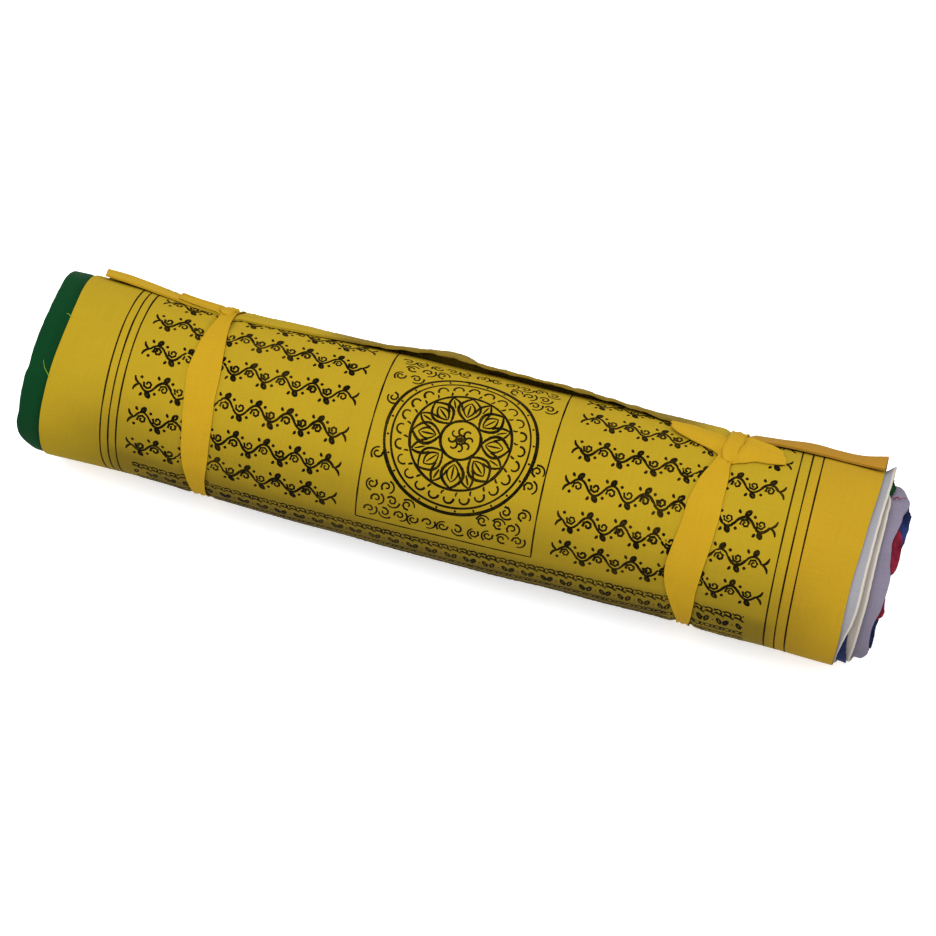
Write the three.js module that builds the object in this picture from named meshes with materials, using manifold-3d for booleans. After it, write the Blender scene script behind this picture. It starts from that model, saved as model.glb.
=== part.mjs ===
import * as THREE from 'three';
import Module from 'manifold-3d';
import { mergeVertices } from 'three/addons/utils/BufferGeometryUtils.js';

// A roll of printed prayer flags: flags of thin cotton laid on one another and wound into a roll,
// held by two cloth ties. Millimetres, +Z up. The roll lies along X on a small flat spot at z = 0.
// Angles are in degrees round the roll's axis: 0 at the back, 90 on top, 180 at the front.

// Driving dimensions
const flagLength = 250; // a flag's side along the roll
const leftHalfWidth = 28.98; // the oval section's half-width at the yellow flag's left edge
const rightHalfWidth = 31.18; // the same at its right edge, where the roll is looser
const roundness = 0.932; // half-height of the section over its half-width
const cloth = 1.0; // one wound layer
const gap = 0.3; // between neighbouring layers
const pitch = cloth + gap; // how far the winding moves in with each turn
const tieRoom = cloth + gap; // depth left under the yellow flag where a tie draws it in
const grooveShoulder = 1.8; // width of the slope at each side of that groove
const looseEndAngle = 50; // where the winding starts, near the loose end's free edge
const flatHalfAngle = 9.5; // half of the flat spot underneath
const flatSink = 0.4; // how much of the round section the flat spot takes off
const stepsPerTurn = 28; // facets round one turn, apart from the flat spot

const halfLength = flagLength / 2;
const degrees = Math.PI / 180;
const bottomTurn = looseEndAngle + 90; // winding angle at the lowest line of the roll
const sink = (pitch * bottomTurn) / 360 + flatSink;

// The loose end: where its free edge lies and how far it lifts, at the edge and 10 mm behind it
const looseEnd = [
  { x: -125, edge: 34, edgeLift: 1.3, crestLift: 2.8 },
  { x: -117, edge: 34, edgeLift: 1.0, crestLift: 2.6 },
  { x: -110, edge: 36, edgeLift: 0.7, crestLift: 1.8 },
  { x: -102, edge: 41, edgeLift: 0.4, crestLift: 1.1 },
  { x: -93, edge: 49, edgeLift: 0.2, crestLift: 0.5 },
  { x: -86, edge: 53, edgeLift: 0, crestLift: 0 },
  { x: -69, edge: 54, edgeLift: 0, crestLift: 0 },
  { x: -60, edge: 50, edgeLift: 0.2, crestLift: 0.2 },
  { x: -44, edge: 49, edgeLift: 0.3, crestLift: 0.3 },
  { x: -30, edge: 46, edgeLift: 0.9, crestLift: 0.6 },
  { x: -18, edge: 46, edgeLift: 1.5, crestLift: 1.5 },
  { x: -6, edge: 47, edgeLift: 2.0, crestLift: 2.2 },
  { x: 12, edge: 47, edgeLift: 2.0, crestLift: 1.8 },
  { x: 28, edge: 47, edgeLift: 1.8, crestLift: 1.1 },
  { x: 45, edge: 48, edgeLift: 1.5, crestLift: 0.4 },
  { x: 60, edge: 50, edgeLift: 0.5, crestLift: 0.1 },
  { x: 68, edge: 51, edgeLift: 0, crestLift: 0 },
  { x: 87, edge: 48, edgeLift: 0, crestLift: 0 },
  { x: 94, edge: 45, edgeLift: 0.4, crestLift: 0.4 },
  { x: 103, edge: 43, edgeLift: 0.8, crestLift: 1.8 },
  { x: 110, edge: 41, edgeLift: 0.8, crestLift: 1.6 },
  { x: 118, edge: 38, edgeLift: 1.0, crestLift: 1.5 },
  { x: 125, edge: 30, edgeLift: 1.6, crestLift: 2.9 },
];
// How the lift fades round the roll: degrees behind the free edge, shares of the two lifts
const liftFade = [
  { behind: 0, edgeShare: 1, crestShare: 0 },
  { behind: 20, edgeShare: 0, crestShare: 1 },
  { behind: 42, edgeShare: 0, crestShare: 0.5 },
  { behind: 66, edgeShare: 0, crestShare: 0 },
];
const looseCornerDrawnBack = 3.5; // the loose end's left corner stops short of the flag's side
const looseCornerSpan = 60; // degrees of winding over which the side comes back to its line
const underlapEnd = 402; // winding angle at which the yellow flag ends, under its loose end

// The ties: centre line and width at angles round the roll
const tieLeftRun = [
  { angle: -130, x: -75.6, width: 7 },
  { angle: -60, x: -76.3, width: 7.4 },
  { angle: 0, x: -77.6, width: 7.6 },
  { angle: 42, x: -78.8, width: 5.6 },
  { angle: 62, x: -79.0, width: 7 },
  { angle: 90, x: -78.4, width: 9.4 },
  { angle: 118, x: -77.3, width: 10.5 },
  { angle: 143, x: -75.8, width: 8.6 },
  { angle: 186, x: -75.0, width: 6.4 },
];
const tieRightRun = [
  { angle: -130, x: 76.2, width: 8 },
  { angle: -60, x: 77.4, width: 8.4 },
  { angle: 0, x: 79.4, width: 8 },
  { angle: 52, x: 81.0, width: 6.4 },
  { angle: 74, x: 80.3, width: 8 },
  { angle: 100, x: 78.6, width: 10.6 },
  { angle: 125, x: 77.5, width: 11.8 },
  { angle: 171, x: 75.8, width: 8.8 },
  { angle: 205, x: 75.8, width: 7.6 },
];
const tieClearance = 0.4; // between a tie's side and the foot of its groove

// Knots and free ends: a free end is given by its two edges, row by row from the knot outwards
const knotClearance = 0.45; // under a knot, over the cloth beside the tie's groove
const knotLeft = { x: -78.8, angle: 42, halfLength: 3.4, halfAngle: 8.5, height: 3.0 };
const knotRight = { x: 81, angle: 55, halfLength: 4.2, halfAngle: 10.5, height: 3.2 };
const tailsLeft = [
  [
    { xA: -78, angleA: 33, xB: -78, angleB: 47, lift: 0.45 },
    { xA: -84, angleA: 30, xB: -84, angleB: 45, lift: 0.45 },
    { xA: -90, angleA: 28, xB: -89, angleB: 41, lift: 0.4 },
    { xA: -96, angleA: 27, xB: -94, angleB: 38, lift: 0.5 },
  ],
  [
    { xA: -78, angleA: 30, xB: -78, angleB: 44, lift: 1.6 },
    { xA: -85, angleA: 26, xB: -85, angleB: 40, lift: 1.7 },
    { xA: -92, angleA: 23, xB: -91, angleB: 36, lift: 1.8 },
    { xA: -98, angleA: 21, xB: -97, angleB: 32, lift: 2.0 },
  ],
];
const tailsRight = [
  [
    { xA: 81, angleA: 50, xB: 81, angleB: 68, lift: 0.4 },
    { xA: 75, angleA: 52, xB: 75, angleB: 67, lift: 0.5 },
    { xA: 69, angleA: 51.5, xB: 70, angleB: 64, lift: 0.5 },
    { xA: 63.5, angleA: 50.5, xB: 64.5, angleB: 58, lift: 0.4 },
    { xA: 59.5, angleA: 50, xB: 60, angleB: 53, lift: 0.4 },
  ],
  [
    { xA: 81, angleA: 47, xB: 81, angleB: 66, lift: 0.4 },
    { xA: 87, angleA: 46, xB: 87, angleB: 67, lift: 0.6 },
    { xA: 92.5, angleA: 45, xB: 97, angleB: 65, lift: 0.6 },
  ],
];

// The flags inside the yellow one. from and to are winding angles; columns run along the roll, and
// lift is how far a layer rises there above its own winding, as where the layers over it have ended.
const innerFlags = [
  {
    name: 'green_flag',
    colour: 0x134926,
    from: 406,
    to: 760,
    columns: [
      { x: -132.2, lift: 2.0 },
      { x: -127.2, lift: 2.0 },
      { x: -125.6, lift: 1.3 },
      { x: -120, lift: 1.3 },
      { x: -112, lift: 0 },
      { x: 118, lift: 0 },
    ],
    leftEdge: [
      { angle: 66, reach: 0.9 },
      { angle: 128, reach: 1.2 },
      { angle: 134, reach: -0.2 },
      { angle: 155, reach: -0.3 },
      { angle: 162, reach: -0.8 },
      { angle: 179, reach: 0.2 },
      { angle: 300, reach: 0 },
    ],
  },
  {
    name: 'white_flag_outer',
    colour: 0xc9c8d2,
    from: 764,
    to: 1118,
    columns: [
      { x: -121.5, lift: 0 },
      { x: 118.4, lift: 0 },
      { x: 121.5, lift: 2.6 },
      { x: 125.6, lift: 2.6 },
      { x: 127.6, lift: 3.0 },
    ],
    rightEdge: [
      { angle: 40, reach: 0.3 },
      { angle: 110, reach: 0 },
      { angle: 190, reach: -0.3 },
      { angle: 300, reach: 0.2 },
    ],
  },
  {
    name: 'white_flag_folded',
    colour: 0xcfc6c0,
    from: 1122,
    to: 1476,
    columns: [
      { x: -120.5, lift: 0 },
      { x: 118.4, lift: 0 },
      { x: 121.5, lift: 2.6 },
      { x: 128.4, lift: 2.6 },
      { x: 130.4, lift: 2.9 },
    ],
    rightEdge: [
      { angle: 40, reach: -1.2 },
      { angle: 90, reach: -0.2 },
      { angle: 190, reach: 0.3 },
      { angle: 300, reach: 0 },
    ],
  },
  {
    name: 'white_flag_inner',
    colour: 0xb9b7c2,
    from: 1480,
    to: 1834,
    columns: [
      { x: -119.5, lift: 0 },
      { x: 118.4, lift: 0 },
      { x: 121.5, lift: 2.6 },
      { x: 131.2, lift: 2.2 },
      { x: 133.6, lift: 2.2 },
    ],
    rightEdge: [
      { angle: 35, reach: -0.6 },
      { angle: 60, reach: -0.8 },
      { angle: 110, reach: -0.4 },
      { angle: 140, reach: 0.8 },
      { angle: 200, reach: 0.2 },
      { angle: 300, reach: 0 },
    ],
  },
  {
    name: 'red_flag',
    colour: 0x9c2738,
    from: 1838,
    to: 2192,
    columns: [
      { x: -118.5, lift: 0 },
      { x: 118.4, lift: 0 },
      { x: 121.5, lift: 2.4 },
      { x: 133.8, lift: 2.2 },
    ],
    rightEdge: [
      { angle: 60, reach: -0.6 },
      { angle: 84, reach: 1.6 },
      { angle: 112, reach: 1.8 },
      { angle: 122, reach: 0 },
      { angle: 142, reach: 1.4 },
      { angle: 160, reach: -0.4 },
      { angle: 300, reach: -0.4 },
    ],
  },
  {
    name: 'blue_flag',
    colour: 0x1d3a7a,
    from: 2196,
    to: 2550,
    columns: [
      { x: -117.5, lift: 0 },
      { x: 118.4, lift: 0 },
      { x: 121.5, lift: 2.4 },
      { x: 134, lift: 2.2 },
    ],
    rightEdge: [
      { angle: 30, reach: 0 },
      { angle: 55, reach: 2.2 },
      { angle: 95, reach: 2.3 },
      { angle: 112, reach: 0 },
      { angle: 150, reach: 0.8 },
      { angle: 205, reach: 0.6 },
      { angle: 300, reach: 0 },
    ],
  },
];

const coreStepSpan = 1.5; // degrees over which the core's outside steps in where its last flag ends

// The turns nearer the middle, as rings from one end to the other: share is the ring's size
const core = {
  from: 2554,
  twistStep: 0.9, // how far the wound end climbs in one turn
  plainReach: 124, // the climb is only in the ends, past this distance from the middle
  rings: [
    { x: -127.6, lift: 5.1, share: 0.16 },
    { x: -129.8, lift: 5.1, share: 0.34 },
    { x: -130.4, lift: 5.1, share: 0.68 },
    { x: -129.6, lift: 5.1, share: 1 },
    { x: -123.6, lift: 5.1, share: 1 },
    { x: -118.9, lift: 0, share: 1 },
    { x: 118.4, lift: 0, share: 1 },
    { x: 121.5, lift: 2.2, share: 1 },
    { x: 133.6, lift: 2.0, share: 1 },
    { x: 135.0, lift: 2.0, share: 0.66 },
    { x: 134.2, lift: 2.0, share: 0.34 },
    { x: 129.5, lift: 2.0, share: 0.16 },
  ],
};

// Values between the rows of a table, on straight lines or, with soft, on eased ones
function between(table, key, value, at, soft = false) {
  if (at <= table[0][key]) return table[0][value];
  for (let i = 1; i < table.length; i++) {
    if (at <= table[i][key]) {
      const share = (at - table[i - 1][key]) / (table[i][key] - table[i - 1][key]);
      const eased = soft ? share * share * (3 - 2 * share) : share;
      return table[i - 1][value] + (table[i][value] - table[i - 1][value]) * eased;
    }
  }
  return table[table.length - 1][value];
}

// The same for a table of angles that goes round and meets itself
function around(table, value, angle) {
  const first = table[0].angle;
  const turned = first + ((((angle - first) % 360) + 360) % 360);
  const closed = [...table, { ...table[0], angle: first + 360 }];
  return between(closed, 'angle', value, turned, true);
}

// Winding angle of the outermost layer at an angle round the roll, the loose end left out
function skinTurn(angle) {
  return (((looseEndAngle - angle) % 360) + 360) % 360;
}

function windingInset(turn) {
  return (pitch * turn) / 360 + (turn > underlapEnd ? tieRoom : 0);
}

// A point of the roll, inset from the oval section, with the flat spot pressed in underneath
function rollPoint(x, angle, inset) {
  const halfWidth = leftHalfWidth + ((rightHalfWidth - leftHalfWidth) * (x + halfLength)) / flagLength;
  const halfHeight = halfWidth * roundness;
  const y = (halfWidth - inset) * Math.cos(angle * degrees);
  const round = halfHeight - sink + (halfHeight - inset) * Math.sin(angle * degrees);
  const depthUnderSkin = inset - windingInset(skinTurn(angle));
  return [x, y, Math.max(round, depthUnderSkin)];
}

// Winding angles at which a layer has its facets: the same lines on every turn
function turnStations(from, to) {
  const step = (360 - 2 * flatHalfAngle) / stepsPerTurn;
  const stations = [from];
  for (let lap = -360; lap < to; lap += 360) {
    for (let i = 0; i <= stepsPerTurn; i++) {
      const turn = lap + bottomTurn + flatHalfAngle + i * step;
      if (turn > from + 2 && turn < to - 2) stations.push(turn);
    }
  }
  stations.push(to);
  return stations;
}

// Depth of the groove that a tie presses into the yellow flag
function grooveDepth(x, angle) {
  let depth = 0;
  for (const run of [tieLeftRun, tieRightRun]) {
    const away = Math.abs(x - around(run, 'x', angle));
    const foot = around(run, 'width', angle) / 2 + tieClearance;
    const share = (foot + grooveShoulder - away) / grooveShoulder;
    depth = Math.max(depth, tieRoom * Math.min(1, Math.max(0, share)));
  }
  return depth;
}

function looseLift(x, behind) {
  const edge = between(looseEnd, 'x', 'edgeLift', x) * between(liftFade, 'behind', 'edgeShare', behind, true);
  const crest = between(looseEnd, 'x', 'crestLift', x) * between(liftFade, 'behind', 'crestShare', behind, true);
  return edge + crest;
}

// How far in the roll's outside lies, the loose end and its step down to the front cloth included
function coverInset(x, angleRound, stepSpan = 20) {
  const angle = ((((angleRound + 130) % 360) + 360) % 360) - 130;
  const edge = between(looseEnd, 'x', 'edge', x);
  const onLooseEnd = windingInset(Math.max(0, looseEndAngle - angle)) - looseLift(x, Math.max(0, edge - angle));
  if (angle <= edge) return onLooseEnd;
  const frontInset = windingInset(360 + looseEndAngle - angle);
  if (angle > edge + stepSpan) return frontInset;
  const share = (angle - edge) / stepSpan;
  return (windingInset(0) - looseLift(x, 0)) * (1 - share) + frontInset * share;
}

// A closed solid from a grid of points on two faces, layer 0 outside and layer 1 inside
function closedSheet(rowCount, columnCount, place, closedRound = false) {
  const positions = [];
  for (let layer = 0; layer < 2; layer++) {
    for (let i = 0; i < rowCount; i++) {
      for (let j = 0; j < columnCount; j++) positions.push(...place(i, j, layer));
    }
  }
  const at = (i, j, layer) => (layer * rowCount + (i % rowCount)) * columnCount + j;
  const indices = [];
  const quad = (a, b, c, d) => indices.push(a, b, c, a, c, d);
  const rowSteps = closedRound ? rowCount : rowCount - 1;
  for (let i = 0; i < rowSteps; i++) {
    for (let j = 0; j < columnCount - 1; j++) {
      quad(at(i, j, 0), at(i, j + 1, 0), at(i + 1, j + 1, 0), at(i + 1, j, 0));
      quad(at(i, j, 1), at(i + 1, j, 1), at(i + 1, j + 1, 1), at(i, j + 1, 1));
    }
    const last = columnCount - 1;
    quad(at(i, 0, 0), at(i + 1, 0, 0), at(i + 1, 0, 1), at(i, 0, 1));
    quad(at(i, last, 1), at(i + 1, last, 1), at(i + 1, last, 0), at(i, last, 0));
  }
  if (!closedRound) {
    const end = rowCount - 1;
    for (let j = 0; j < columnCount - 1; j++) {
      quad(at(0, j, 0), at(0, j, 1), at(0, j + 1, 1), at(0, j + 1, 0));
      quad(at(end, j, 1), at(end, j, 0), at(end, j + 1, 0), at(end, j + 1, 1));
    }
  }
  return facingOut(positions, indices);
}

// A geometry whose faces point out: the order of each face is turned round if the volume is negative
function facingOut(positions, indices) {
  let volume = 0;
  const corner = (i) => new THREE.Vector3().fromArray(positions, 3 * i);
  for (let f = 0; f < indices.length; f += 3) {
    volume += corner(indices[f]).dot(corner(indices[f + 1]).cross(corner(indices[f + 2])));
  }
  if (volume < 0) indices.reverse();
  const geometry = new THREE.BufferGeometry();
  geometry.setAttribute('position', new THREE.Float32BufferAttribute(positions, 3));
  geometry.setIndex(indices);
  return geometry;
}

function clothMesh(name, geometry, colour, roughness = 0.9) {
  geometry.computeVertexNormals();
  const material = new THREE.MeshStandardMaterial({ color: colour, roughness, metalness: 0 });
  const mesh = new THREE.Mesh(geometry, material);
  mesh.name = name;
  return mesh;
}

// Places along the roll where the yellow flag has its facets, the foot and top of each groove included
const clothStations = {
  left: [-117, -110, -102, -93],
  middle: [-60, -44, -30, -18, -6, 12, 28, 45, 60],
  right: [94, 103, 110, 118, 125],
};

function grooveStations(run, angle) {
  const middle = around(run, 'x', angle);
  const foot = around(run, 'width', angle) / 2 + tieClearance;
  const top = foot + grooveShoulder;
  return [middle - top, middle - foot, middle + foot, middle + top];
}

function makeYellowFlag() {
  const turns = turnStations(0, underlapEnd);
  const placeColumns = (turn) => {
    const angle = looseEndAngle - turn;
    const cornerShare = Math.max(0, 1 - turn / looseCornerSpan);
    return [
      -halfLength + looseCornerDrawnBack * cornerShare * cornerShare,
      ...clothStations.left,
      ...grooveStations(tieLeftRun, angle),
      ...clothStations.middle,
      ...grooveStations(tieRightRun, angle),
      ...clothStations.right,
    ];
  };
  const columnCount = placeColumns(0).length;
  const edgeFade = 60; // degrees of winding over which the free edge's line fades into the grid
  return closedSheet(turns.length, columnCount, (i, j, layer) => {
    const x = placeColumns(turns[i])[j];
    const edgeTurn = looseEndAngle - between(looseEnd, 'x', 'edge', x);
    const turn = turns[i] + edgeTurn * Math.max(0, 1 - turns[i] / edgeFade);
    const angle = looseEndAngle - turn;
    const lift = looseLift(x, turn - edgeTurn);
    const inset = (pitch * turn) / 360 + grooveDepth(x, angle) - lift + layer * cloth;
    return rollPoint(x, angle, inset);
  });
}

function makeInnerFlag(flag) {
  const turns = turnStations(flag.from, flag.to);
  const last = flag.columns.length - 1;
  return closedSheet(turns.length, flag.columns.length, (i, j, layer) => {
    const angle = looseEndAngle - turns[i];
    let x = flag.columns[j].x;
    if (j === 0 && flag.leftEdge) x += around(flag.leftEdge, 'reach', angle);
    if (j === last && flag.rightEdge) x += around(flag.rightEdge, 'reach', angle);
    const inset = windingInset(turns[i]) - flag.columns[j].lift + layer * cloth;
    return rollPoint(x, angle, inset);
  });
}

// The wound middle: rings of the winding's section, closed by a point at each end
function makeCore() {
  const turns = turnStations(core.from, core.from + 360 - coreStepSpan);
  const count = turns.length;
  const positions = [];
  for (const ring of core.rings) {
    const away = 1 - ring.share;
    for (const turn of turns) {
      const angle = looseEndAngle - turn;
      const climb = (core.twistStep * (turn - core.from)) / 360;
      const x = ring.x + Math.sign(ring.x) * (Math.abs(ring.x) > core.plainReach ? climb : 0);
      const rim = rollPoint(x, angle, windingInset(turn) - ring.lift);
      const centre = rollPoint(x, 90, leftHalfWidth * roundness);
      positions.push(rim[0], rim[1] + (centre[1] - rim[1]) * away, rim[2] + (centre[2] - rim[2]) * away);
    }
  }
  const lastRing = core.rings.length - 1;
  const poles = [0, lastRing].map((r) => {
    const x = core.rings[r].x;
    positions.push(...rollPoint(x, 90, leftHalfWidth * roundness));
    return positions.length / 3 - 1;
  });
  const indices = [];
  for (let i = 0; i < count; i++) {
    const next = (i + 1) % count;
    for (let r = 0; r < lastRing; r++) {
      const a = r * count + i;
      const b = r * count + next;
      indices.push(a, b, b + count, a, b + count, a + count);
    }
    indices.push(poles[0], next, i);
    indices.push(poles[1], lastRing * count + i, lastRing * count + next);
  }
  return facingOut(positions, indices);
}

// A tie's band, once round the roll, raised a little into the knot
function makeBand(run, knot) {
  const turns = turnStations(0, 360);
  turns.pop();
  const knotRise = 0.8;
  return closedSheet(turns.length, 2, (i, j, layer) => {
    const angle = looseEndAngle - turns[i];
    const x = around(run, 'x', angle) + (j - 0.5) * around(run, 'width', angle);
    const fromKnot = Math.abs(((angle - knot.angle + 540) % 360) - 180);
    const rise = fromKnot < knot.halfAngle + 4 ? knotRise : 0;
    const inset = coverInset(around(run, 'x', angle), angle) - rise + layer * cloth;
    return rollPoint(x, angle, inset);
  }, true);
}

// A knot: a low dome with two shallow creases, lying on the band
function makeKnot(knot) {
  const rows = 7;
  const columns = 7;
  return closedSheet(rows, columns, (i, j, layer) => {
    const u = (2 * i) / (rows - 1) - 1;
    const v = (2 * j) / (columns - 1) - 1;
    const x = knot.x + v * knot.halfLength * Math.sqrt(1 - 0.35 * u * u);
    const angle = knot.angle + u * knot.halfAngle * Math.sqrt(1 - 0.35 * v * v);
    const dome = Math.sqrt(Math.max(0, (1 - 0.8 * u * u) * (1 - 0.8 * v * v)));
    const crease = 0.12 * Math.cos(3 * Math.PI * v) * (1 - u * u);
    const height = layer === 0 ? 0.9 + knot.height * dome * (0.8 + crease) : knotClearance;
    return rollPoint(x, angle, coverInset(x, angle) - height);
  });
}

function makeTail(edges) {
  const across = 3;
  const along = 3; // facets between two rows of the table
  const rows = (edges.length - 1) * along + 1;
  const table = edges.map((edge, row) => ({ ...edge, row }));
  return closedSheet(rows, across, (i, j, layer) => {
    const row = i / along;
    const share = j / (across - 1);
    const value = (name) => between(table, 'row', name, row);
    const x = value('xA') + (value('xB') - value('xA')) * share;
    const angle = value('angleA') + (value('angleB') - value('angleA')) * share;
    const crown = 0.3 * (1 - (2 * share - 1) ** 2);
    const height = gap + value('lift') + crown + (1 - layer) * cloth;
    return rollPoint(x, angle, coverInset(x, angle) - height);
  });
}

const wasm = await Module();
wasm.setup();

function toSolid(geometry) {
  const bare = geometry.clone();
  bare.deleteAttribute('normal');
  bare.deleteAttribute('uv');
  const merged = mergeVertices(bare, 1e-4);
  const mesh = new wasm.Mesh({
    numProp: 3,
    vertProperties: new Float32Array(merged.attributes.position.array),
    triVerts: new Uint32Array(merged.index.array),
  });
  return new wasm.Manifold(mesh);
}

function toGeometry(solid) {
  const mesh = solid.getMesh();
  const geometry = new THREE.BufferGeometry();
  geometry.setAttribute('position', new THREE.BufferAttribute(new Float32Array(mesh.vertProperties), 3));
  geometry.setIndex(new THREE.BufferAttribute(new Uint32Array(mesh.triVerts), 1));
  return geometry;
}

// One strip of cloth: its band, knot and free ends joined into a single solid
function makeTie(run, knot, tails) {
  let tie = toSolid(makeBand(run, knot)).add(toSolid(makeKnot(knot)));
  for (const tail of tails) tie = tie.add(toSolid(makeTail(tail)));
  return toGeometry(tie);
}

const roll = new THREE.Group();
roll.add(clothMesh('yellow_flag', makeYellowFlag(), 0xc2a42c));
for (const flag of innerFlags) roll.add(clothMesh(flag.name, makeInnerFlag(flag), flag.colour));
roll.add(clothMesh('wound_flags', makeCore(), 0xaaa8b2));
roll.add(clothMesh('tie_left', makeTie(tieLeftRun, knotLeft, tailsLeft), 0xd4a82d, 0.85));
roll.add(clothMesh('tie_right', makeTie(tieRightRun, knotRight, tailsRight), 0xd0a32e, 0.85));

export default roll;
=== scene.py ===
import bpy
import numpy as np
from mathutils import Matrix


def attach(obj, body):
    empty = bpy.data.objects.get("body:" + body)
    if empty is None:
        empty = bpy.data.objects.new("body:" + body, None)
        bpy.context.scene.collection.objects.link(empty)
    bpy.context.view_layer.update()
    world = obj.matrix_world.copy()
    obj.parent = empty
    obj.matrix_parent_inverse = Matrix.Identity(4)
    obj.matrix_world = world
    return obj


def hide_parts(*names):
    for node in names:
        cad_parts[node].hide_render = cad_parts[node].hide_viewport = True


# A roll of block-printed prayer flags, held by two cloth ties. Shapes are worked out in millimetres
# and turned to metres when a mesh is made. x runs along the roll. turn is the winding angle in
# degrees from the loose end's line, and angle goes round the roll: 0 at the back, 90 on top,
# 180 in front, so that angle = 50 - turn.

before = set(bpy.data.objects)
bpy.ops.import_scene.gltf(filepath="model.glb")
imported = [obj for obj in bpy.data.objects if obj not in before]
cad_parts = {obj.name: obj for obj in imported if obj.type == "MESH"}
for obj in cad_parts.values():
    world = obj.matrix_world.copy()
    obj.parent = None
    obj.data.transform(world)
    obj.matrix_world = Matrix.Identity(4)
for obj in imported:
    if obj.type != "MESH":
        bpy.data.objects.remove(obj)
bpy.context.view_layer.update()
scene = bpy.context.scene
print("frame loaded:", len(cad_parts), "nodes")


def linearColour(hexColour):
    # sRGB hex to linear, by the sRGB curve
    parts = [int(hexColour[i:i + 2], 16) / 255 for i in (1, 3, 5)]
    return [p / 12.92 if p <= 0.04045 else ((p + 0.055) / 1.055) ** 2.4 for p in parts] + [1]


def addNode(tree, kind, inputs=None, **settings):
    # one shader node, with its settings, and its sockets given a value or linked from another socket
    node = tree.nodes.new("ShaderNode" + kind)
    for key, value in settings.items():
        setattr(node, key, value)
    for key, value in (inputs or {}).items():
        if isinstance(value, bpy.types.NodeSocket):
            tree.links.new(value, node.inputs[key])
        else:
            node.inputs[key].default_value = value
    return node


def throughRows(at, rows, column=1):
    # a smooth curve through a table's rows: cubic pieces with slopes from the rows on either side
    table = np.asarray(rows, float)
    places, values = table[:, 0], table[:, column]
    slopes = np.gradient(values, places)
    at = np.asarray(at, float)
    i = np.clip(np.searchsorted(places, at, side="right") - 1, 0, len(places) - 2)
    span = places[i + 1] - places[i]
    s = np.clip((at - places[i]) / span, 0, 1)
    start = (2 * s ** 3 - 3 * s ** 2 + 1) * values[i] + (s ** 3 - 2 * s ** 2 + s) * span * slopes[i]
    end = (3 * s ** 2 - 2 * s ** 3) * values[i + 1] + (s ** 3 - s ** 2) * span * slopes[i + 1]
    return start + end


def ease(share):
    # 0 to 1 with no corner at either end
    s = np.clip(share, 0, 1)
    return s * s * (3 - 2 * s)


def unevenness(a, b, wave, seed, count=8):
    # sine waves about one wavelength long, in mixed directions, summed: mostly between -1 and 1
    draw = np.random.default_rng(seed)
    total = np.zeros(np.broadcast(a, b).shape)
    for _ in range(count):
        heading = draw.uniform(0, 2 * np.pi)
        length = wave * draw.uniform(0.6, 1.6)
        phase = draw.uniform(0, 2 * np.pi)
        total += np.sin((a * np.cos(heading) + b * np.sin(heading)) * 2 * np.pi / length + phase)
    return total / count ** 0.5


def normalsOf(grid):
    # unit normals of a grid of points, from the cross product of its two directions
    normal = np.cross(np.gradient(grid, axis=0), np.gradient(grid, axis=1))
    return normal / np.maximum(np.linalg.norm(normal, axis=-1, keepdims=True), 1e-9)


def throughPoints(rows, at):
    # a table's columns, each a smooth curve through its rows, which stand at 0, 1, 2 and on
    table = np.array(rows, float)
    places = np.arange(len(table))
    return [throughRows(at, np.stack([places, column], 1)) for column in table.T]


def newPiece(name, points, faces, material, uv=None, sharpAngle=50):
    # a mesh in metres from points in millimetres, smooth except over edges sharper than the angle
    mesh = bpy.data.meshes.new(name)
    mesh.from_pydata((points * 0.001).tolist(), [], faces)
    mesh.polygons.foreach_set("use_smooth", np.ones(len(mesh.polygons), bool))
    mesh.set_sharp_from_angle(angle=np.radians(sharpAngle))
    if uv is not None:
        corner = np.zeros(len(mesh.loops), np.int32)
        mesh.loops.foreach_get("vertex_index", corner)
        mesh.uv_layers.new(name="clothUv").data.foreach_set("uv", (uv[corner] * 0.001).ravel())
    mesh.materials.append(material)
    piece = bpy.data.objects.new(name, mesh)
    scene.collection.objects.link(piece)
    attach(piece, "root")
    return piece


def sheetFaces(m, n):
    # quads of the outer grid, of the inner one turned over, and of the rim between them
    index = np.arange(m * n).reshape(m, n)
    a, b, c, d = index[:-1, :-1], index[1:, :-1], index[1:, 1:], index[:-1, 1:]
    outer = np.stack([a, b, c, d], -1).reshape(-1, 4)
    loop = np.concatenate([index[:, 0], index[-1, 1:], index[-2::-1, -1], index[0, -2::-1]])
    rim = np.stack([loop[1:], loop[:-1], loop[:-1] + m * n, loop[1:] + m * n], -1)
    return np.concatenate([outer, outer[:, ::-1] + m * n, rim]).tolist()


def clothSheet(name, outer, thickness, material, uv):
    # a thin closed sheet: the outer grid, the same grid pushed in along its normals, and a rim
    m, n = outer.shape[:2]
    back = outer - normalsOf(outer) * np.asarray(thickness)[..., None]
    points = np.concatenate([outer.reshape(-1, 3), back.reshape(-1, 3)])
    flat = np.stack(np.broadcast_arrays(*uv), -1).reshape(-1, 2)
    return newPiece(name, points, sheetFaces(m, n), material, np.concatenate([flat, flat]))


def closedTube(name, rings, material, uv):
    # rings of points joined one to the next, with each end closed on its middle
    m, n = rings.shape[:2]
    ring = np.arange(n)
    around = np.roll(ring, -1)
    start = (np.arange(m - 1) * n)[:, None]
    wall = np.stack([start + ring, start + around, start + n + around, start + n + ring], -1)
    first = np.stack([around, ring, np.full(n, m * n)], -1)
    last = np.stack([(m - 1) * n + ring, (m - 1) * n + around, np.full(n, m * n + 1)], -1)
    faces = wall.reshape(-1, 4).tolist() + first.tolist() + last.tolist()
    points = np.concatenate([rings.reshape(-1, 3), rings[:1].mean(1), rings[-1:].mean(1)])
    flat = np.concatenate([uv.reshape(-1, 2), uv[0, :1], uv[-1, :1]])
    return newPiece(name, points, faces, material, flat, sharpAngle=180)


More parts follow.
